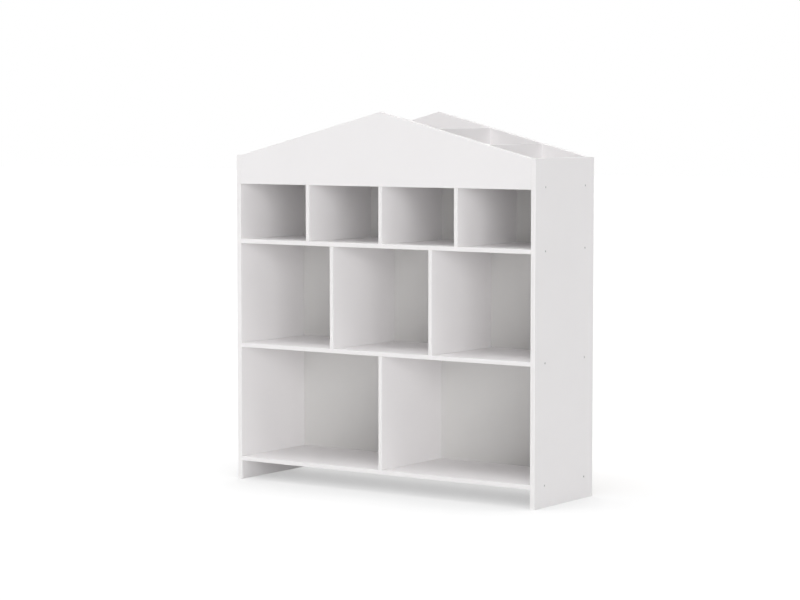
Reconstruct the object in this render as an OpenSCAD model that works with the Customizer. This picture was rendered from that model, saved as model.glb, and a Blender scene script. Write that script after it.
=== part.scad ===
// House shaped bookcase: nine open cells in three rows under a book tray, whose
// front and back boards rise to a roof ridge. Millimetres, +Z up, the front
// towards -Y, and the origin on the floor under the middle of the bookcase.

/* [Overall] */
// Width over the two side panels
body_w = 1000; // [900:10:1200]
// Depth from the front edges to the rear edges of the side panels
body_d = 300; // [280:5:400]
// Rise of the roof ridge above the tops of the side panels
roof_rise = 122; // [90:1:200]

/* [Rows] */
// Clear height under the bottom board
kick_h = 53; // [40:1:120]
// Clear height of the bottom row, which has two cells
lower_row_h = 315; // [240:1:400]
// Clear height of the middle row, which has three cells
middle_row_h = 285; // [200:1:360]
// Clear height of the top row, which has four cells
upper_row_h = 157; // [120:1:240]
// How much narrower the two outer cells of a row are than the cells between them
outer_cell_less = 6; // [0:0.5:12]

/* [Book tray] */
// Height of the side panels above the floor of the book tray
tray_side_h = 70; // [66:1:110]
// Depth of the tray dividers' tops under the roof line at their outer faces
tray_divider_drop = 1; // [0.5:0.5:40]
// Clear width of the two end compartments of the book tray
tray_end_cell_w = 141; // [120:1:170]
// Clear width of the compartments beside the two end compartments
tray_side_cell_w = 157; // [120:1:180]

/* [Boards] */
// Thickness of the side panels
side_t = 15; // [15:1:18]
// Thickness of the bottom board, the two shelves and the top board
shelf_t = 12; // [12:1:16]
// Thickness of the dividers between the cells
divider_t = 12; // [12:1:16]
// Thickness of the dividers in the book tray
tray_divider_t = 12; // [12:1:16]
// Thickness of the front and back gables
gable_t = 15; // [15:1:18]
// Bevel along the board edges that a hand can reach
edge_ease = 0.8; // [0.4:0.1:1.5]

/* [Back panels] */
// Thickness of the three back panels
back_t = 3; // [2.5:0.5:5]
// Setback of the back panels from the rear edges of the side panels
back_recess = 1.4; // [1.2:0.1:4]
// Width of the rebate in each side panel that takes the back panels
rebate_w = 8; // [6:0.5:9]
// Clearance between each back panel and what is beside it
panel_gap = 0.5; // [0.3:0.1:0.8]

/* [Connecting screws] */
// Diameter of the connecting screws
screw_d = 5; // [4:0.5:5.5]
// Length of the connecting screws
screw_l = 50; // [40:1:60]
// Diameter of the countersunk screw heads
screw_head_d = 7; // [6.5:0.1:8]
// Depth of the countersunk screw heads
screw_head_h = 3; // [2.6:0.1:4]
// Width across the flats of the hexagon socket in each screw head
socket_af = 3; // [2.5:0.5:4]
// Depth of the hexagon socket
socket_depth = 2.2; // [1.5:0.1:2.5]
// Distance from the front edges to the front row of screws
screw_front = 50; // [40:1:70]
// Distance from the rear edges to the back row of screws
screw_back = 46; // [40:1:70]

/* [Dowels] */
// Diameter of the dowels in the thin boards
small_dowel_d = 6; // [5:0.5:6]
// Length of a small dowel inside the face that it is glued into
small_dowel_face = 8; // [6:0.5:8]
// Length of a small dowel inside the end of the board that it holds
small_dowel_end = 16; // [12:1:20]
// Distance from the side panels to the outer dowels of the top board
edge_dowel_margin = 135; // [100:5:200]
// Diameter of the dowels between the gables and the side panels
large_dowel_d = 8; // [6:0.5:8]
// Length of a large dowel inside the side panel
large_dowel_face = 10; // [8:0.5:10]
// Length of a large dowel inside the end of the gable
large_dowel_end = 20; // [14:1:24]
// Distance from the cam bolt up or down to each large dowel
large_dowel_pitch = 22; // [18:1:23]

/* [Cam locks] */
// Diameter of the cam discs
cam_d = 15; // [12:0.5:15]
// Height of the cam discs
cam_h = 12; // [11.8:0.1:12.2]
// Distance from the end of the gable to the middle of the cam disc
cam_inset = 34; // [24:1:40]
// Diameter of the cam bolt's thread, in the side panel
cam_thread_d = 5; // [4:0.5:5]
// Length of the cam bolt's thread
cam_thread_l = 10.5; // [8:0.5:11]
// Diameter of the cam bolt's collar
cam_collar_d = 7.4; // [7:0.1:7.6]
// Diameter of the cam bolt's shank
cam_shank_d = 5.4; // [5:0.1:6]
// Diameter of the neck that the cam disc grips
cam_neck_d = 4; // [3:0.5:4.5]
// Diameter of the cam bolt's head
cam_head_d = 6.8; // [6:0.1:7]

/* [Nails] */
// Diameter of the nails in the back panels
nail_d = 1.4; // [1.2:0.1:2]
// Length of the nails under the head
nail_l = 18; // [14:1:25]
// Diameter of the nail heads
nail_head_d = 3.6; // [3:0.1:4.5]
// Thickness of the nail heads
nail_head_h = 0.8; // [0.6:0.1:1]
// Largest distance from one nail to the next along a shelf
nail_pitch = 160; // [100:10:240]
// Distance from the side panels to the first nail of a row
nail_margin = 85; // [60:5:120]
// Distance from the joint of two back panels to the nails on each side
nail_edge = 3; // [2.5:0.1:3.4]

/* [Wall fixing] */
// Distance between the two wall fixing holes in the back gable
wall_hole_spacing = 500; // [420:10:560]
// Diameter of the wall fixing holes
wall_hole_d = 5; // [4:0.5:8]
// Height of the wall fixing holes above the floor of the book tray
wall_hole_z = 45; // [30:1:60]

/* [Hidden] */
// Radial clearance of what sits in a bore, and spare depth at a bore's end
fit = 0.1;
end_gap = 0.5;
// How far a cutting tool reaches past the face that it opens
past = 1;
$fn = 32;

upper_cells = 4;
middle_cells = 3;
lower_cells = 2;

inner_w = body_w - 2 * side_t;
front_y = -body_d / 2;
rear_y = body_d / 2;
carcass_rear_y = rear_y - back_recess - back_t;
tray_d = body_d - 2 * gable_t;

lower_shelf_z = kick_h + shelf_t + lower_row_h;
upper_shelf_z = lower_shelf_z + shelf_t + middle_row_h;
top_board_z = upper_shelf_z + shelf_t + upper_row_h;
tray_floor_z = top_board_z + shelf_t;
side_h = tray_floor_z + tray_side_h;
ridge_h = side_h + roof_rise;
board_levels = [kick_h, lower_shelf_z, upper_shelf_z, top_board_z];

screw_ys = [front_y + screw_front, rear_y - screw_back];
screw_tip = 4;

lower_divider_xs = divider_centres(lower_cells);
middle_divider_xs = divider_centres(middle_cells);
upper_divider_xs = divider_centres(upper_cells);
tray_far_x = inner_w / 2 - tray_end_cell_w - tray_divider_t / 2;
tray_near_x = tray_far_x - tray_side_cell_w - tray_divider_t;
tray_divider_xs = [-tray_far_x, -tray_near_x, tray_near_x, tray_far_x];

dowel_bevel = 1;
outer_dowel_x = inner_w / 2 - edge_dowel_margin;
edge_dowel_xs = [-outer_dowel_x, 0, outer_dowel_x];
cam_z = tray_floor_z + tray_side_h / 2;
cam_sink = 0.2;
cam_bolt_bore_d = cam_collar_d + 0.6;
cam_collar_l = 3;
cam_neck_l = 4;
cam_head_l = 4;
cam_channel_w = cam_head_d + 0.8;
cam_slot_w = 2;
cam_slot_depth = 1.6;
gable_mid_y = front_y + gable_t / 2;
tray_face_y = front_y + gable_t;

nail_gaps = ceil((inner_w - 2 * nail_margin) / nail_pitch);
nail_step = (inner_w - 2 * nail_margin) / nail_gaps;
nail_xs = [for (i = [0 : nail_gaps]) nail_margin - inner_w / 2 + i * nail_step];
rebate_mid_x = inner_w / 2 + rebate_w / 2;
panel_joints = [lower_shelf_z + shelf_t / 2, upper_shelf_z + shelf_t / 2];
lower_panel = [kick_h + panel_gap, panel_joints[0] - panel_gap];
middle_panel = [panel_joints[0] + panel_gap, panel_joints[1] - panel_gap];
upper_panel = [panel_joints[1] + panel_gap, top_board_z - panel_gap];

// Nail places in the XZ plane: along the boards, up the sides, up the dividers
board_nail_zs = [
    kick_h + shelf_t / 2,
    panel_joints[0] - nail_edge, panel_joints[0] + nail_edge,
    panel_joints[1] - nail_edge, panel_joints[1] + nail_edge
];
side_nail_zs = [
    for (panel = [lower_panel, middle_panel, upper_panel])
        for (share = [1 / 4, 3 / 4]) panel[0] + share * (panel[1] - panel[0])
];
board_nails = [for (z = board_nail_zs) for (x = nail_xs) [x, z]];
side_nails = [for (z = side_nail_zs) for (x = [-rebate_mid_x, rebate_mid_x]) [x, z]];
divider_nails = concat(
    [for (x = lower_divider_xs) [x, lower_shelf_z - lower_row_h / 2]],
    [for (x = middle_divider_xs) [x, upper_shelf_z - middle_row_h / 2]],
    [for (x = upper_divider_xs) [x, top_board_z - upper_row_h / 2]]
);
nails = concat(board_nails, side_nails, divider_nails);

white = [0.93, 0.925, 0.92];
white_back = [0.88, 0.875, 0.87];
steel = [0.62, 0.62, 0.64];
beech = [0.80, 0.66, 0.46];

// Height of the roof line at a distance x from the middle
function roof_z(x) = ridge_h - roof_rise * abs(x) / (inner_w / 2);

// Middles of the dividers that part a row into clear cells, the outer two a little narrower
function divider_centres(cells) =
    let (cell_w = (inner_w - (cells - 1) * divider_t + 2 * outer_cell_less) / cells)
    [
        for (k = [1 : cells - 1])
            k * cell_w - outer_cell_less + (k - 0.5) * divider_t - inner_w / 2
    ];

// ---- Fasteners, each along +Z from the face where it goes in ----

module connecting_screw() {
    color(steel)
        difference() {
            union() {
                cylinder(d1 = screw_head_d, d2 = screw_d, h = screw_head_h);
                cylinder(d = screw_d, h = screw_l - screw_tip);
                translate([0, 0, screw_l - screw_tip])
                    cylinder(d1 = screw_d, d2 = screw_d / 4, h = screw_tip);
            }
            translate([0, 0, -past])
                cylinder(d = socket_af / cos(30), h = socket_depth + past, $fn = 6);
        }
}

module screw_bore() {
    cylinder(
        d1 = screw_head_d + 2 * fit, d2 = screw_d + 2 * fit,
        h = screw_head_h + 2 * fit
    );
    translate([0, 0, -past])
        cylinder(d = screw_head_d + 2 * fit, h = past);
    cylinder(d = screw_d + 2 * fit, h = screw_l + end_gap);
}

// A dowel that reaches back by face_l and forward by end_l from the joint
module dowel(d, face_l, end_l) {
    r = d / 2;
    l = face_l + end_l;
    color(beech)
        translate([0, 0, -face_l])
            rotate_extrude()
                polygon([
                    [0, 0], [r - dowel_bevel, 0], [r, dowel_bevel],
                    [r, l - dowel_bevel], [r - dowel_bevel, l], [0, l]
                ]);
}

module dowel_bore(d, face_l, end_l) {
    translate([0, 0, -face_l - end_gap])
        cylinder(d = d + 2 * fit, h = face_l + end_l + 2 * end_gap);
}

// Threaded end behind the joint, and collar, shank, neck and head in the gable
module cam_bolt() {
    head_end = cam_inset + cam_head_l / 2;
    head_start = head_end - cam_head_l;
    neck_start = head_start - cam_neck_l;
    color(steel)
        rotate_extrude()
            polygon([
                [0, -cam_thread_l], [cam_thread_d / 2, -cam_thread_l],
                [cam_thread_d / 2, 0], [cam_collar_d / 2, 0],
                [cam_collar_d / 2, cam_collar_l], [cam_shank_d / 2, cam_collar_l],
                [cam_shank_d / 2, neck_start], [cam_neck_d / 2, neck_start],
                [cam_neck_d / 2, head_start], [cam_head_d / 2, head_start],
                [cam_head_d / 2, head_end], [0, head_end]
            ]);
}

module cam_bolt_bore() {
    translate([0, 0, -cam_thread_l - end_gap])
        cylinder(d = cam_thread_d + 2 * fit, h = cam_thread_l + end_gap + past);
    cylinder(d = cam_bolt_bore_d, h = cam_inset);
}

// A disc with a driver cross on its face and a pocket for the bolt's head
module cam_disc() {
    color(steel)
        difference() {
            translate([0, 0, cam_sink]) cylinder(d = cam_d, h = cam_h);
            for (turn = [0, 90])
                rotate([0, 0, turn])
                    translate([-cam_d / 3, -cam_slot_w / 2, 0])
                        cube([2 * cam_d / 3, cam_slot_w, cam_sink + cam_slot_depth]);
            translate([
                -cam_head_l / 2 - end_gap,
                -cam_channel_w / 2,
                gable_t / 2 - cam_channel_w / 2
            ])
                cube([cam_d, cam_channel_w, cam_channel_w]);
        }
}

module cam_disc_bore() {
    translate([0, 0, -past])
        cylinder(d = cam_d + 2 * fit, h = cam_sink + cam_h + fit + past);
}

module nail() {
    color(steel) {
        cylinder(d = nail_d, h = nail_l);
        translate([0, 0, -nail_head_h]) cylinder(d = nail_head_d, h = nail_head_h);
    }
}

module nail_bore() {
    translate([0, 0, -past])
        cylinder(d = nail_d + 2 * fit, h = nail_l + end_gap + past);
}

// ---- Places ----

// Where the screws go through the right side panel into the four boards
module at_side_screws() {
    for (z = board_levels)
        for (y = screw_ys)
            translate([body_w / 2, y, z + shelf_t / 2]) rotate([0, -90, 0]) children();
}

// Where screws go up through the board whose underside is at z
module at_floor_screws(xs, z) {
    for (x = xs)
        for (y = screw_ys)
            translate([x, y, z]) children();
}

// Where dowels join the tops of a row of dividers to the underside at z
module at_divider_dowels(xs, z) {
    for (x = xs)
        for (y = screw_ys)
            translate([x, y, z]) rotate([180, 0, 0]) children();
}

// Where dowels join the front and back edges of the top board to the gables
module at_edge_dowels() {
    for (x = edge_dowel_xs)
        for (turn = [0, 180])
            rotate([0, 0, turn])
                translate([x, tray_face_y, top_board_z + shelf_t / 2])
                    rotate([-90, 0, 0]) children();
}

// The four corners where a gable ends against a side panel, each in turn
module at_gable_corners() {
    for (flip_x = [0, 1])
        for (flip_y = [0, 1])
            mirror([flip_x, 0, 0]) mirror([0, flip_y, 0]) children();
}

// In the right front corner, along the gable from its end
module at_gable_end(z) {
    translate([inner_w / 2, gable_mid_y, z]) rotate([0, -90, 0]) children();
}

module at_large_dowels() {
    for (side = [-1, 1])
        at_gable_end(cam_z + side * large_dowel_pitch) children();
}

module at_cam_disc() {
    translate([inner_w / 2 - cam_inset, tray_face_y, cam_z])
        rotate([90, 0, 0]) children();
}

module at_nails(places) {
    for (place = places)
        translate([place[0], rear_y - back_recess, place[1]])
            rotate([90, 0, 0]) children();
}

// ---- Boards ----

module side_panel() {
    outer_x = body_w / 2;
    inner_x = inner_w / 2;
    e = edge_ease;
    color(white)
        difference() {
            intersection() {
                linear_extrude(side_h)
                    polygon([
                        [inner_x + e, front_y], [outer_x - e, front_y],
                        [outer_x, front_y + e], [outer_x, rear_y - e],
                        [outer_x - e, rear_y], [inner_x + e, rear_y],
                        [inner_x, rear_y - e], [inner_x, front_y + e]
                    ]);
                translate([0, rear_y, 0])
                    rotate([90, 0, 0])
                        linear_extrude(body_d)
                            polygon([
                                [inner_x + e, 0], [outer_x - e, 0],
                                [outer_x, e], [outer_x, side_h - e],
                                [outer_x - e, side_h], [inner_x + e, side_h],
                                [inner_x, side_h - e], [inner_x, e]
                            ]);
            }
            translate([inner_x - past, carcass_rear_y, kick_h])
                cube([rebate_w + past, body_d, top_board_z - kick_h]);
            at_side_screws() screw_bore();
            at_nails(side_nails) nail_bore();
            for (flip_y = [0, 1])
                mirror([0, flip_y, 0]) {
                    at_gable_end(cam_z) cam_bolt_bore();
                    at_large_dowels()
                        dowel_bore(large_dowel_d, large_dowel_face, large_dowel_end);
                }
        }
}

module side_panel_right() side_panel();

module side_panel_left() {
    mirror([1, 0, 0]) side_panel();
}

// A full depth board between the side panels, with its front edges bevelled
module shelf_blank(z) {
    e = edge_ease;
    translate([-inner_w / 2, 0, z])
        rotate([90, 0, 90])
            linear_extrude(inner_w)
                polygon([
                    [front_y + e, 0], [carcass_rear_y, 0],
                    [carcass_rear_y, shelf_t], [front_y + e, shelf_t],
                    [front_y, shelf_t - e], [front_y, e]
                ]);
}

// The screws that hold a board between the two side panels
module side_screw_bores() {
    for (flip_x = [0, 1])
        mirror([flip_x, 0, 0]) at_side_screws() screw_bore();
}

module bottom_board() {
    color(white)
        difference() {
            shelf_blank(kick_h);
            side_screw_bores();
            at_floor_screws(lower_divider_xs, kick_h) screw_bore();
            at_nails(board_nails) nail_bore();
        }
}

module lower_shelf() {
    color(white)
        difference() {
            shelf_blank(lower_shelf_z);
            side_screw_bores();
            at_floor_screws(middle_divider_xs, lower_shelf_z) screw_bore();
            at_divider_dowels(lower_divider_xs, lower_shelf_z) small_dowel_bore();
            at_nails(board_nails) nail_bore();
        }
}

module upper_shelf() {
    color(white)
        difference() {
            shelf_blank(upper_shelf_z);
            side_screw_bores();
            at_floor_screws(upper_divider_xs, upper_shelf_z) screw_bore();
            at_divider_dowels(middle_divider_xs, upper_shelf_z) small_dowel_bore();
            at_nails(board_nails) nail_bore();
        }
}

// The floor of the book tray, held between the two gables
module top_board() {
    color(white)
        difference() {
            translate([-inner_w / 2, tray_face_y, top_board_z])
                cube([inner_w, tray_d, shelf_t]);
            side_screw_bores();
            at_floor_screws(tray_divider_xs, top_board_z) screw_bore();
            at_divider_dowels(upper_divider_xs, top_board_z) small_dowel_bore();
            at_edge_dowels() small_dowel_bore();
        }
}

// One upright between two boards, with its front edges bevelled
module divider(x, floor_z, height) {
    half_t = divider_t / 2;
    e = edge_ease;
    color(white)
        difference() {
            translate([x, 0, floor_z])
                linear_extrude(height)
                    polygon([
                        [-half_t, carcass_rear_y], [-half_t, front_y + e],
                        [e - half_t, front_y], [half_t - e, front_y],
                        [half_t, front_y + e], [half_t, carcass_rear_y]
                    ]);
            at_floor_screws([x], floor_z - shelf_t) screw_bore();
            at_divider_dowels([x], floor_z + height) small_dowel_bore();
            at_nails(divider_nails) nail_bore();
        }
}

module lower_divider() {
    divider(lower_divider_xs[0], kick_h + shelf_t, lower_row_h);
}

module middle_divider(place) {
    divider(middle_divider_xs[place], lower_shelf_z + shelf_t, middle_row_h);
}

module upper_divider(place) {
    divider(upper_divider_xs[place], upper_shelf_z + shelf_t, upper_row_h);
}

module middle_divider_left() middle_divider(0);

module middle_divider_right() middle_divider(1);

module upper_divider_left() upper_divider(0);

module upper_divider_centre() upper_divider(1);

module upper_divider_right() upper_divider(2);

// The space under the right slope of the roof, with its two long edges bevelled
module under_slope() {
    e = edge_ease;
    deep = ridge_h;
    translate([0, front_y, ridge_h])
        rotate([0, atan2(roof_rise, inner_w / 2), 0])
            translate([-inner_w, 0, 0])
                rotate([90, 0, 90])
                    linear_extrude(2 * inner_w)
                        polygon([
                            [0, -deep], [gable_t, -deep], [gable_t, -e],
                            [gable_t - e, 0], [e, 0], [0, -e]
                        ]);
}

// The front gable: its lower edge is level with the underside of the top board
module gable() {
    e = edge_ease;
    half_w = inner_w / 2;
    rise = ridge_h - top_board_z;
    difference() {
        intersection() {
            translate([-half_w, front_y, top_board_z])
                rotate([90, 0, 90])
                    linear_extrude(inner_w)
                        polygon([
                            [0, e], [e, 0], [gable_t, 0], [gable_t, rise], [0, rise]
                        ]);
            under_slope();
            mirror([1, 0, 0]) under_slope();
        }
        at_edge_dowels() small_dowel_bore();
        for (flip_x = [0, 1])
            mirror([flip_x, 0, 0]) {
                at_gable_end(cam_z) cam_bolt_bore();
                at_cam_disc() cam_disc_bore();
                at_large_dowels()
                    dowel_bore(large_dowel_d, large_dowel_face, large_dowel_end);
            }
    }
}

module front_gable() {
    color(white) gable();
}

module back_gable() {
    color(white)
        difference() {
            mirror([0, 1, 0]) gable();
            for (side = [-1, 1])
                translate([
                    side * wall_hole_spacing / 2,
                    rear_y + past,
                    tray_floor_z + wall_hole_z
                ])
                    rotate([90, 0, 0])
                        cylinder(d = wall_hole_d, h = gable_t + 2 * past);
        }
}

// An upright across the tray, as high as the roof line beside it allows
module tray_divider(place) {
    x = tray_divider_xs[place];
    e = edge_ease;
    half_t = tray_divider_t / 2;
    height = roof_z(abs(x) + half_t) - tray_divider_drop - tray_floor_z;
    color(white)
        difference() {
            translate([x, -tray_face_y, tray_floor_z])
                rotate([90, 0, 0])
                    linear_extrude(tray_d)
                        polygon([
                            [-half_t, 0], [half_t, 0], [half_t, height - e],
                            [half_t - e, height], [e - half_t, height],
                            [-half_t, height - e]
                        ]);
            at_floor_screws([x], top_board_z) screw_bore();
        }
}

module tray_divider_far_left() tray_divider(0);

module tray_divider_left() tray_divider(1);

module tray_divider_right() tray_divider(2);

module tray_divider_far_right() tray_divider(3);

module back_panel(levels) {
    half_w = inner_w / 2 + rebate_w - panel_gap;
    color(white_back)
        difference() {
            translate([-half_w, carcass_rear_y, levels[0]])
                cube([2 * half_w, back_t, levels[1] - levels[0]]);
            at_nails([for (n = nails) if (n[1] > levels[0] && n[1] < levels[1]) n])
                nail_bore();
        }
}

module back_panel_lower() back_panel(lower_panel);

module back_panel_middle() back_panel(middle_panel);

module back_panel_upper() back_panel(upper_panel);

// ---- Groups of fasteners ----

module small_dowel() dowel(small_dowel_d, small_dowel_face, small_dowel_end);

module small_dowel_bore() {
    dowel_bore(small_dowel_d, small_dowel_face, small_dowel_end);
}

module side_screws_right() {
    at_side_screws() connecting_screw();
}

module side_screws_left() {
    mirror([1, 0, 0]) side_screws_right();
}

module divider_screws() {
    at_floor_screws(lower_divider_xs, kick_h) connecting_screw();
    at_floor_screws(middle_divider_xs, lower_shelf_z) connecting_screw();
    at_floor_screws(upper_divider_xs, upper_shelf_z) connecting_screw();
}

module tray_divider_screws() {
    at_floor_screws(tray_divider_xs, top_board_z) connecting_screw();
}

module divider_dowels() {
    at_divider_dowels(lower_divider_xs, lower_shelf_z) small_dowel();
    at_divider_dowels(middle_divider_xs, upper_shelf_z) small_dowel();
    at_divider_dowels(upper_divider_xs, top_board_z) small_dowel();
}

module gable_edge_dowels() {
    at_edge_dowels() small_dowel();
}

module gable_end_dowels() {
    at_gable_corners()
        at_large_dowels() dowel(large_dowel_d, large_dowel_face, large_dowel_end);
}

module cam_bolts() {
    at_gable_corners() at_gable_end(cam_z) cam_bolt();
}

module cam_discs() {
    at_gable_corners() at_cam_disc() cam_disc();
}

module back_nails() {
    at_nails(nails) nail();
}

side_panel_left();
side_panel_right();
bottom_board();
lower_shelf();
upper_shelf();
top_board();
lower_divider();
middle_divider_left();
middle_divider_right();
upper_divider_left();
upper_divider_centre();
upper_divider_right();
front_gable();
back_gable();
tray_divider_far_left();
tray_divider_left();
tray_divider_right();
tray_divider_far_right();
back_panel_lower();
back_panel_middle();
back_panel_upper();
side_screws_left();
side_screws_right();
divider_screws();
tray_divider_screws();
divider_dowels();
gable_edge_dowels();
gable_end_dowels();
cam_bolts();
cam_discs();
back_nails();
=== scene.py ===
import math

import bpy
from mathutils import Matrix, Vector


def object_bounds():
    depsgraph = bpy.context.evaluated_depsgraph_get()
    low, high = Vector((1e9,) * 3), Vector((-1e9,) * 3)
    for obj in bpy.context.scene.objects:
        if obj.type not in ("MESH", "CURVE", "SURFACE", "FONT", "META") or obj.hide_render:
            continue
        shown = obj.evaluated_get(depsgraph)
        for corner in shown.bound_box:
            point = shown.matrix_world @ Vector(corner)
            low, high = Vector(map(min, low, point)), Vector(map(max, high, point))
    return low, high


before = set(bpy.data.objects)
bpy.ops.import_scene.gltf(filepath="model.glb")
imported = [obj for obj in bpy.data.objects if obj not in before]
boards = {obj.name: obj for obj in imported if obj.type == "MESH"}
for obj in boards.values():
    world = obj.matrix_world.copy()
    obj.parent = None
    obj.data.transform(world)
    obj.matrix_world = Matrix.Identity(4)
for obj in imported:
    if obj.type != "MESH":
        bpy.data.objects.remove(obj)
cad_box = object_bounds()


# ---- Side panels ----
# The two uprights are particle board under white melamine film, with a plastic band
# ironed onto the cut edges. They stand on the floor and carry every other board, which
# is screwed between them.
def put(tree, kind, inputs=None, **settings):
    """Adds a shader node, and fills its inputs with values or with other nodes' outputs."""
    made = tree.nodes.new("ShaderNode" + kind)
    for name, value in settings.items():
        setattr(made, name, value)
    for name, value in (inputs or {}).items():
        if isinstance(value, bpy.types.NodeSocket):
            tree.links.new(value, made.inputs[name])
        else:
            made.inputs[name].default_value = value
    return made


def new_effect(name, inputs, outputs):
    """An empty node group, and its input and output nodes."""
    effect = bpy.data.node_groups.new(name, "ShaderNodeTree")
    kinds = {"colour": "NodeSocketColor", "value": "NodeSocketFloat", "vector": "NodeSocketVector"}
    for direction, sockets in (("INPUT", inputs), ("OUTPUT", outputs)):
        for socket, kind in sockets.items():
            effect.interface.new_socket(socket, in_out=direction, socket_type=kinds[kind])
    return effect, effect.nodes.new("NodeGroupInput"), effect.nodes.new("NodeGroupOutput")


def give(tree, sink, **sources):
    """Joins outputs to a node's inputs. An underscore in a name stands for a space."""
    for name, source in sources.items():
        tree.links.new(source, sink.inputs[name.replace("_", " ")])


def melamine_film():
    """Printed film: white with faint clouds, under a pearl texture less than 1 mm across."""
    effect, asked, made = new_effect(
        "melamine film",
        {"Colour": "colour", "Cloudiness": "value", "Pearl size": "value", "Gloss break": "value"},
        {"Colour": "colour", "Roughness": "value", "Height": "value"},
    )
    clouds_per_metre, wipes_per_metre, plain_roughness = 7.0, 26.0, 0.60
    place = put(effect, "TexCoord").outputs["Object"]
    clouds = put(effect, "TexNoise", {"Vector": place, "Scale": clouds_per_metre, "Detail": 4.0})
    swing = put(effect, "Math", {0: clouds.outputs["Fac"], 1: 0.5}, operation="SUBTRACT")
    swing = put(effect, "Math", {0: swing.outputs[0], 1: asked.outputs["Cloudiness"], 2: 1.0},
                operation="MULTIPLY_ADD")
    tinted = put(effect, "VectorMath", {0: asked.outputs["Colour"], "Scale": swing.outputs[0]},
                 operation="SCALE")
    grains = put(effect, "Math", {0: 1.0, 1: asked.outputs["Pearl size"]}, operation="DIVIDE")
    pearl = put(effect, "TexNoise", {"Vector": place, "Scale": grains.outputs[0], "Detail": 1.5})
    wiped = put(effect, "TexNoise", {"Vector": place, "Scale": wipes_per_metre, "Detail": 5.0})
    gloss = put(effect, "Math", {0: wiped.outputs["Fac"], 1: asked.outputs["Gloss break"],
                                 2: plain_roughness}, operation="MULTIPLY_ADD")
    give(effect, made, Colour=tinted.outputs[0], Roughness=gloss.outputs[0],
         Height=pearl.outputs["Fac"])
    return effect


def edge_band():
    """A mask of a board's narrow edges, and of the thin glue line that borders the band."""
    effect, asked, made = new_effect(
        "edge band",
        {"Face axis": "vector", "Front": "value", "Band": "value"},
        {"Band mask": "value", "Glue mask": "value"},
    )
    glue_half_width = 0.00012
    normal = put(effect, "NewGeometry").outputs["True Normal"]
    facing = put(effect, "VectorMath", {0: normal, 1: asked.outputs["Face axis"]},
                 operation="DOT_PRODUCT")
    facing = put(effect, "Math", {0: facing.outputs["Value"]}, operation="ABSOLUTE")
    edge = put(effect, "Math", {0: facing.outputs[0], 1: 0.5}, operation="LESS_THAN")
    place = put(effect, "SeparateXYZ", {0: put(effect, "TexCoord").outputs["Object"]})
    depth = put(effect, "Math", {0: place.outputs["Y"]}, operation="ABSOLUTE")
    depth = put(effect, "Math", {0: asked.outputs["Front"], 1: depth.outputs[0]},
                operation="SUBTRACT")
    glue = put(effect, "Math", {0: depth.outputs[0], 1: asked.outputs["Band"],
                                2: glue_half_width}, operation="COMPARE")
    give(effect, made, Band_mask=edge.outputs[0], Glue_mask=glue.outputs[0])
    return effect


def chip_core():
    """Sawn particle board: glued wood chips of many browns, with small pits between them."""
    effect, asked, made = new_effect(
        "chip core", {"Chip size": "value"}, {"Colour": "colour", "Height": "value"})
    dark_chip, pale_chip = (0.34, 0.22, 0.12, 1), (0.62, 0.46, 0.29, 1)
    place = put(effect, "TexCoord").outputs["Object"]
    count = put(effect, "Math", {0: 1.0, 1: asked.outputs["Chip size"]}, operation="DIVIDE")
    chips = put(effect, "TexVoronoi", {"Vector": place, "Scale": count.outputs[0]})
    shade = put(effect, "RGBToBW", {"Color": chips.outputs["Color"]})
    colour = put(effect, "Mix", {0: shade.outputs[0], 6: dark_chip, 7: pale_chip},
                 data_type="RGBA")
    give(effect, made, Colour=colour.outputs[2], Height=chips.outputs["Distance"])
    return effect


film_effect = melamine_film()
band_effect = edge_band()
core_effect = chip_core()
film_white = (0.915, 0.898, 0.902, 1)
band_white = (0.92, 0.903, 0.904, 1)
glue_grey = (0.62, 0.61, 0.59, 1)
band_thickness = 0.0010
arris_radius = 0.0006
chip_size = 0.0014


def board_material(name, face_axis, cut=None):
    """White melamine board whose faces look along face_axis, with banded edges. Where cut
    gives 1, a hole or rebate is machined through the white into the chip core."""
    material = bpy.data.materials.new(name)
    material.use_nodes = True
    tree = material.node_tree
    shader = tree.nodes["Principled BSDF"]
    film = put(tree, "Group", node_tree=film_effect, inputs={
        "Colour": film_white, "Cloudiness": 0.03, "Pearl size": 0.0009, "Gloss break": 0.12})
    band = put(tree, "Group", node_tree=band_effect, inputs={
        "Face axis": face_axis, "Front": cad_box[1].y, "Band": band_thickness})
    banded = put(tree, "Mix", {0: band.outputs["Band mask"], 6: film.outputs["Colour"],
                               7: band_white}, data_type="RGBA")
    glued = put(tree, "Mix", {0: band.outputs["Glue mask"], 6: banded.outputs[2], 7: glue_grey},
                data_type="RGBA")
    colour = glued.outputs[2]
    rounded = put(tree, "Bevel", {"Radius": arris_radius}, samples=4)
    bump = put(tree, "Bump", {"Height": film.outputs["Height"], "Normal": rounded.outputs[0],
                              "Strength": 0.12, "Distance": 0.0003})
    relief = bump.outputs[0]
    if cut:
        machined = cut(tree, band.outputs["Band mask"])
        core = put(tree, "Group", {"Chip size": chip_size}, node_tree=core_effect)
        colour = put(tree, "Mix", {0: machined, 6: colour, 7: core.outputs["Colour"]},
                     data_type="RGBA").outputs[2]
        pits = put(tree, "Math", {0: core.outputs["Height"], 1: machined}, operation="MULTIPLY")
        relief = put(tree, "Bump", {"Height": pits.outputs[0], "Normal": relief,
                                    "Strength": 0.5, "Distance": 0.0004}).outputs[0]
    shader.inputs["Specular IOR Level"].default_value = 0.20
    give(tree, shader, Base_Color=colour, Roughness=film.outputs["Roughness"], Normal=relief)
    return material


def finish_node(name, material):
    """Gives a CAD node its material."""
    for held in boards[name].material_slots:
        held.material = material


rebate_middle_x, rebate_half_width = 0.4892, 0.0040
rebate_middle_z, rebate_half_height = 0.4495, 0.3966
rebate_front_y = 0.1454


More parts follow.
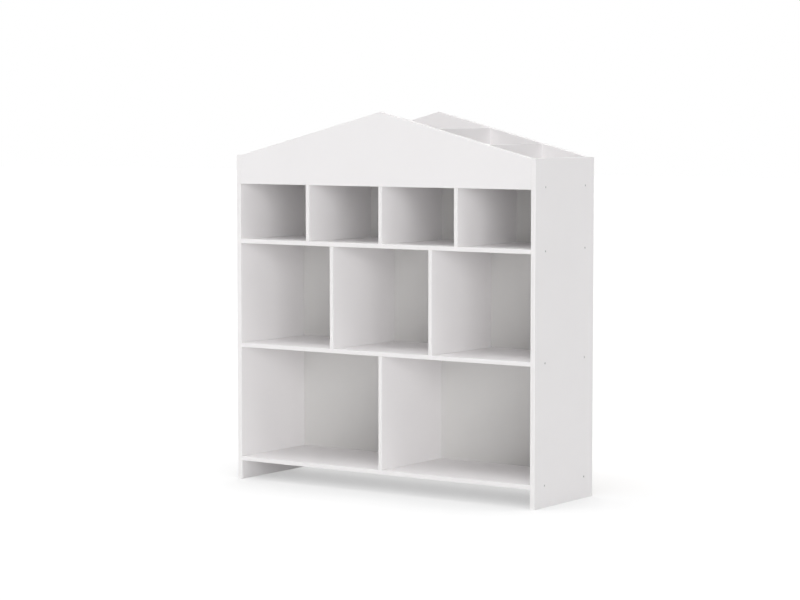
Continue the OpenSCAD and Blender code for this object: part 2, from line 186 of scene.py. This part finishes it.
def rebate_cut(tree, edge):
    """The rebate for the back panels, milled along the inner rear corner of a side panel."""
    place = put(tree, "SeparateXYZ", {0: put(tree, "TexCoord").outputs["Object"]})
    across = put(tree, "Math", {0: place.outputs["X"]}, operation="ABSOLUTE")
    across = put(tree, "Math", {0: across.outputs[0], 1: rebate_middle_x,
                                2: rebate_half_width}, operation="COMPARE")
    behind = put(tree, "Math", {0: place.outputs["Y"], 1: rebate_front_y},
                 operation="GREATER_THAN")
    height = put(tree, "Math", {0: place.outputs["Z"], 1: rebate_middle_z,
                                2: rebate_half_height}, operation="COMPARE")
    milled = put(tree, "Math", {0: across.outputs[0], 1: behind.outputs[0]}, operation="MULTIPLY")
    return put(tree, "Math", {0: milled.outputs[0], 1: height.outputs[0]},
               operation="MULTIPLY").outputs[0]


side_board = board_material("white side board", (1, 0, 0), rebate_cut)
for side in ("left", "right"):
    finish_node(f"side_panel_{side}", side_board)


# ---- Bottom board, shelves and top board ----
# Four level boards of the same melamine board, 12 mm thick, each held by two screws
# through each side panel. Their front edges are banded. The top board is the tray's floor.
level_board = board_material("white level board", (0, 0, 1))
for name in ("bottom_board", "lower_shelf", "upper_shelf", "top_board"):
    finish_node(name, level_board)


# ---- Cell dividers ----
# Six uprights of the same 12 mm board part the three rows into two, three and four cells.
# Screws hold their lower ends and glued dowels their upper ends.
cell_dividers = [
    "lower_divider",
    "middle_divider_left", "middle_divider_right",
    "upper_divider_left", "upper_divider_centre", "upper_divider_right",
]
upright_board = board_material("white upright board", (1, 0, 0))
for name in cell_dividers:
    finish_node(name, upright_board)


# ---- Gables and tray dividers ----
# The front and back of the book tray, sawn to the roof outline, and the four uprights
# between them. The gables are held by cam locks and dowels, with nothing to see outside.
wall_hole_x, wall_hole_z, wall_hole_reach = 0.25, 0.903, 0.0028


def wall_hole_cut(tree, edge):
    """The two holes through the back gable for the wall screws, 500 mm apart."""
    place = put(tree, "SeparateXYZ", {0: put(tree, "TexCoord").outputs["Object"]})
    across = put(tree, "Math", {0: place.outputs["X"]}, operation="ABSOLUTE")
    across = put(tree, "Math", {0: across.outputs[0], 1: wall_hole_x, 2: wall_hole_reach},
                 operation="COMPARE")
    height = put(tree, "Math", {0: place.outputs["Z"], 1: wall_hole_z, 2: wall_hole_reach},
                 operation="COMPARE")
    near = put(tree, "Math", {0: across.outputs[0], 1: height.outputs[0]}, operation="MULTIPLY")
    return put(tree, "Math", {0: near.outputs[0], 1: edge}, operation="MULTIPLY").outputs[0]


gable_board = board_material("white gable board", (0, 1, 0), wall_hole_cut)
for name in ("front_gable", "back_gable"):
    finish_node(name, gable_board)
for name in ("far_left", "left", "right", "far_right"):
    finish_node(f"tray_divider_{name}", upright_board)


# ---- Back panels ----
# Three sheets of thin hardboard, nailed into the rebate of the side panels and to the rear
# edges of the shelves. Only the front has a rolled coat of white lacquer: the rear and the
# sawn edges show the brown pressed fibre.
def lacquered_hardboard():
    material = bpy.data.materials.new("white lacquered hardboard")
    material.use_nodes = True
    tree = material.node_tree
    shader = tree.nodes["Principled BSDF"]
    # The lacquer is greyer than the melamine boards: partly its own duller white, partly painted
    # shade for the deep backs of the cells.
    lacquer_white_and_painted_shade = (0.79, 0.783, 0.77, 1)
    light_fibre, dark_fibre = (0.41, 0.258, 0.138, 1), (0.33, 0.196, 0.098, 1)
    bare_roughness = 0.82
    film = put(tree, "Group", node_tree=film_effect, inputs={
        "Colour": lacquer_white_and_painted_shade, "Cloudiness": 0.05, "Pearl size": 0.0014, "Gloss break": 0.3})
    place = put(tree, "TexCoord").outputs["Object"]
    felted = put(tree, "Mapping", {"Vector": place, "Scale": (240.0, 240.0, 900.0)})
    fibres = put(tree, "TexNoise", {"Vector": felted.outputs[0], "Scale": 1.0, "Detail": 3.0})
    relief = put(tree, "Math", {0: film.outputs["Height"], 1: fibres.outputs["Fac"]},
                 operation="ADD")
    bump = put(tree, "Bump", {"Height": relief.outputs[0], "Strength": 0.2, "Distance": 0.0003})
    clouds = put(tree, "TexNoise", {"Vector": place, "Scale": 9.0, "Detail": 5.0})
    flecks = put(tree, "TexNoise", {"Vector": place, "Scale": 420.0, "Detail": 6.0,
                                    "Roughness": 0.7, "Distortion": 0.8})
    brown = put(tree, "Mix", {0: clouds.outputs["Fac"], 6: light_fibre, 7: dark_fibre},
                data_type="RGBA")
    speckle = put(tree, "MapRange", {"Value": flecks.outputs["Fac"], "From Min": 0.3,
                                     "From Max": 0.7, "To Min": 0.62, "To Max": 1.34})
    pressed = put(tree, "VectorMath", {0: brown.outputs[2], "Scale": speckle.outputs[0]},
                  operation="SCALE")
    normal = put(tree, "NewGeometry").outputs["True Normal"]
    front = put(tree, "VectorMath", {0: normal, 1: (0.0, -1.0, 0.0)}, operation="DOT_PRODUCT")
    coated = put(tree, "Math", {0: front.outputs["Value"], 1: 0.5}, operation="GREATER_THAN")
    colour = put(tree, "Mix", {0: coated.outputs[0], 6: pressed.outputs[0],
                               7: film.outputs["Colour"]}, data_type="RGBA")
    gloss = put(tree, "MapRange", {"Value": coated.outputs[0], "To Min": bare_roughness,
                                   "To Max": 0.0})
    gloss = put(tree, "Math", {0: gloss.outputs[0], 1: film.outputs["Roughness"]},
                operation="MAXIMUM")
    give(tree, shader, Base_Color=colour.outputs[2], Roughness=gloss.outputs[0],
         Normal=bump.outputs[0])
    return material


hardboard = lacquered_hardboard()
for level in ("lower", "middle", "upper"):
    finish_node(f"back_panel_{level}", hardboard)


# ---- Connecting screws ----
# Zinc plated steel screws with a countersunk head and a hexagon socket, driven through
# the side panels and up through the boards. Their heads lie flush with the white faces.
def metal_wear():
    """Fine turning marks and dull patches on small metal pieces."""
    effect, asked, made = new_effect(
        "metal wear",
        {"Bright": "colour", "Dull": "colour", "Mark size": "value", "Roughness": "value"},
        {"Colour": "colour", "Roughness": "value", "Height": "value"},
    )
    place = put(effect, "TexCoord").outputs["Object"]
    marks = put(effect, "Math", {0: 1.0, 1: asked.outputs["Mark size"]}, operation="DIVIDE")
    grain = put(effect, "TexNoise", {"Vector": place, "Scale": marks.outputs[0], "Detail": 4.0})
    patch = put(effect, "TexNoise", {"Vector": place, "Scale": 330.0, "Detail": 2.0})
    colour = put(effect, "Mix", {0: patch.outputs["Fac"], 6: asked.outputs["Bright"],
                                 7: asked.outputs["Dull"]}, data_type="RGBA")
    rough = put(effect, "Math", {0: patch.outputs["Fac"], 1: 0.16,
                                 2: asked.outputs["Roughness"]}, operation="MULTIPLY_ADD")
    give(effect, made, Colour=colour.outputs[2], Roughness=rough.outputs[0],
         Height=grain.outputs["Fac"])
    return effect


wear_effect = metal_wear()
zinc_bright, zinc_dull = (0.78, 0.77, 0.77), (0.68, 0.67, 0.67)
# Painted shade: the near-black colour given to the inside of the screw sockets.
socket_painted_shade = (0.06, 0.058, 0.055, 1)
socket_rim_x = 0.4992


def metal_material(name, bright, dull, mark_size, roughness, socket_from=None):
    """Bare or plated metal. Below socket_from, measured across the bookcase, it is the
    inside of a screw's socket, painted near black as shade."""
    material = bpy.data.materials.new(name)
    material.use_nodes = True
    tree = material.node_tree
    shader = tree.nodes["Principled BSDF"]
    shader.inputs["Metallic"].default_value = 1.0
    wear = put(tree, "Group", node_tree=wear_effect, inputs={
        "Bright": (*bright, 1), "Dull": (*dull, 1), "Mark size": mark_size,
        "Roughness": roughness})
    bump = put(tree, "Bump", {"Height": wear.outputs["Height"], "Strength": 0.25,
                              "Distance": 0.00005})
    colour = wear.outputs["Colour"]
    # Painted shade: inside the socket the metal is coloured near black.
    if socket_from:
        place = put(tree, "SeparateXYZ", {0: put(tree, "TexCoord").outputs["Object"]})
        across = put(tree, "Math", {0: place.outputs["X"]}, operation="ABSOLUTE")
        inside = put(tree, "Math", {0: across.outputs[0], 1: socket_from}, operation="LESS_THAN")
        colour = put(tree, "Mix", {0: inside.outputs[0], 6: colour, 7: socket_painted_shade},
                     data_type="RGBA").outputs[2]
    give(tree, shader, Base_Color=colour, Roughness=wear.outputs["Roughness"],
         Normal=bump.outputs[0])
    return material


side_zinc = metal_material("zinc plated side screw", zinc_bright, zinc_dull,
                           mark_size=0.0003, roughness=0.30, socket_from=socket_rim_x)
for name in ("side_screws_left", "side_screws_right"):
    finish_node(name, side_zinc)
zinc_plate = metal_material("zinc plated steel", zinc_bright, zinc_dull,
                            mark_size=0.0003, roughness=0.30)
for name in ("divider_screws", "tray_divider_screws"):
    finish_node(name, zinc_plate)


# ---- Dowels ----
# Fluted beech pins, glued half into one board and half into the next: 6 mm ones in the
# tops of the cell dividers and 8 mm ones in the gables. All of them are hidden.
def beech():
    material = bpy.data.materials.new("beech dowel")
    material.use_nodes = True
    tree = material.node_tree
    shader = tree.nodes["Principled BSDF"]
    pale_grain, dark_grain = (0.66, 0.46, 0.27, 1), (0.48, 0.31, 0.17, 1)
    place = put(tree, "TexCoord").outputs["Object"]
    grain = put(tree, "TexNoise", {"Vector": place, "Scale": 900.0, "Detail": 5.0,
                                   "Distortion": 1.2})
    colour = put(tree, "Mix", {0: grain.outputs["Fac"], 6: pale_grain, 7: dark_grain},
                 data_type="RGBA")
    bump = put(tree, "Bump", {"Height": grain.outputs["Fac"], "Strength": 0.4,
                              "Distance": 0.0001})
    shader.inputs["Roughness"].default_value = 0.65
    give(tree, shader, Base_Color=colour.outputs[2], Normal=bump.outputs[0])
    return material


dowel_beech = beech()
for name in ("divider_dowels", "gable_edge_dowels", "gable_end_dowels"):
    finish_node(name, dowel_beech)


# ---- Cam locks ----
# Each corner of the tray has a steel bolt in the side panel and a die-cast zinc disc in
# the gable, turned with a screwdriver to draw the joint tight.
finish_node("cam_bolts", zinc_plate)
die_cast = metal_material("die-cast zinc", (0.52, 0.53, 0.54), (0.36, 0.36, 0.37),
                          mark_size=0.0006, roughness=0.38)
finish_node("cam_discs", die_cast)


# ---- Back nails ----
# Bright steel wire nails, 18 mm long with flat heads. They are driven through the back
# panels into the rebates and into the rear edges of the boards.
nail_wire = metal_material("bright nail wire", (0.50, 0.50, 0.51), (0.34, 0.34, 0.34),
                           mark_size=0.0004, roughness=0.34)
finish_node("back_nails", nail_wire)


# ---- Floor and background ----
# A pale studio floor that runs to the horizon under a white background. The camera sees it
# nearly white through a glow, and grey only in a soft shadow: a weak cast shadow, and painted
# shade, a glow that is least where the bookcase hides most of the sky. Neither changes the light
# on the bookcase.
def seen_directly(tree):
    """1 where the camera, a mirror or glass looks, and 0 where the light is worked out."""
    path = put(tree, "LightPath")
    seen = path.outputs["Is Camera Ray"]
    for other in ("Is Glossy Ray", "Is Transmission Ray"):
        seen = put(tree, "Math", {0: seen, 1: path.outputs[other]}, operation="MAXIMUM").outputs[0]
    return seen


floor_half = 30.0
floor_mesh = bpy.data.meshes.new("studio floor")
floor_mesh.from_pydata(
    [(x * floor_half, y * floor_half, 0) for x, y in ((-1, -1), (1, -1), (1, 1), (-1, 1))],
    [], [(0, 1, 2, 3)])
floor = bpy.data.objects.new("studio floor", floor_mesh)
bpy.context.collection.objects.link(floor)
floor_paint = bpy.data.materials.new("studio floor")
floor_paint.use_nodes = True
tree = floor_paint.node_tree
shader = tree.nodes["Principled BSDF"]
floor_grey = 0.92
shadow_contrast = 0.365
painted_shade_lift_by_openness = ((0.0, 0.38), (0.15, 0.57), (0.58, 0.59), (0.72, 0.665), (1.0, 0.76))
seen = seen_directly(tree)
seen_grey = put(tree, "MapRange", {"Value": seen, "To Min": floor_grey,
                                   "To Max": floor_grey * shadow_contrast})
# Painted shade: the glow that the camera sees is dimmed where ambient occlusion finds the bookcase
# near.
open_floor = put(tree, "AmbientOcclusion", {"Distance": 0.6}, samples=16)
open_floor = put(tree, "ValToRGB", {"Fac": open_floor.outputs["AO"]})
stops = open_floor.color_ramp.elements
for count, (openness, lift) in enumerate(painted_shade_lift_by_openness):
    stop = stops[count] if count < 2 else stops.new(openness)
    stop.position = openness
    stop.color = (lift, lift, lift, 1)
lift = put(tree, "Math", {0: seen, 1: open_floor.outputs["Color"]}, operation="MULTIPLY")
shader.inputs["Roughness"].default_value = 0.9
shader.inputs["Specular IOR Level"].default_value = 0.0
shader.inputs["Emission Color"].default_value = (1, 1, 1, 1)
give(tree, shader, Base_Color=seen_grey.outputs[0], Emission_Strength=lift.outputs[0])
floor_mesh.materials.append(floor_paint)

world = bpy.data.worlds.new("white studio")
bpy.context.scene.world = world
world.use_nodes = True
tree = world.node_tree
ambient_strength = 0.09
sky = tree.nodes["Background"]
sky.inputs["Color"].default_value = (1, 1, 1, 1)
sky_level = put(tree, "MapRange", {"Value": seen_directly(tree), "To Min": ambient_strength,
                                   "To Max": 1.0})
give(tree, sky, Strength=sky_level.outputs[0])


# ---- Lamps ----
# Soft studio light: broad, low lamps on the left, on the right in front and behind, a weak
# high one on the right, and one overhead, slightly in front, which reaches the fronts of
# the shelves.
def studio_light(name, turn, height, spread, strength):
    """A distant lamp, turned in degrees from straight in front towards the right."""
    lamp = bpy.data.lights.new(name, "SUN")
    lamp.energy = strength * math.pi
    lamp.angle = math.radians(spread)
    made = bpy.data.objects.new(name, lamp)
    bpy.context.collection.objects.link(made)
    turn, height = math.radians(turn), math.radians(height)
    towards = Vector((math.sin(turn) * math.cos(height), -math.cos(turn) * math.cos(height),
                      math.sin(height)))
    made.rotation_euler = towards.to_track_quat("Z", "Y").to_euler()


for name, turn, height, spread, strength in (
        ("left lamp", -68, 2, 40, 0.395),
        ("right front lamp", 46, 2, 40, 0.565),
        ("high right lamp", 40, 55, 60, 0.13),
        ("rear lamp", -160, 8, 40, 0.37),
        ("overhead lamp", 0, 84, 60, 0.56),
):
    studio_light(name, turn, height, spread, strength)


# ---- Camera ----
# The photograph's viewpoint: in front on the right, level with the roof ridge and tilted
# down a little, with a long lens.
camera_lens = 110.67
camera_place = (3.8898, -5.6342, 1.0469)
camera_pitch, camera_turn = -4.35, 34.88
camera = bpy.data.cameras.new("camera")
camera.sensor_width = 36.0
camera.lens = camera_lens
viewpoint = bpy.data.objects.new("camera", camera)
bpy.context.collection.objects.link(viewpoint)
viewpoint.location = camera_place
viewpoint.rotation_euler = (math.radians(90 + camera_pitch), 0, math.radians(camera_turn))
bpy.context.scene.camera = viewpoint
bpy.context.scene.view_settings.view_transform = "Standard"
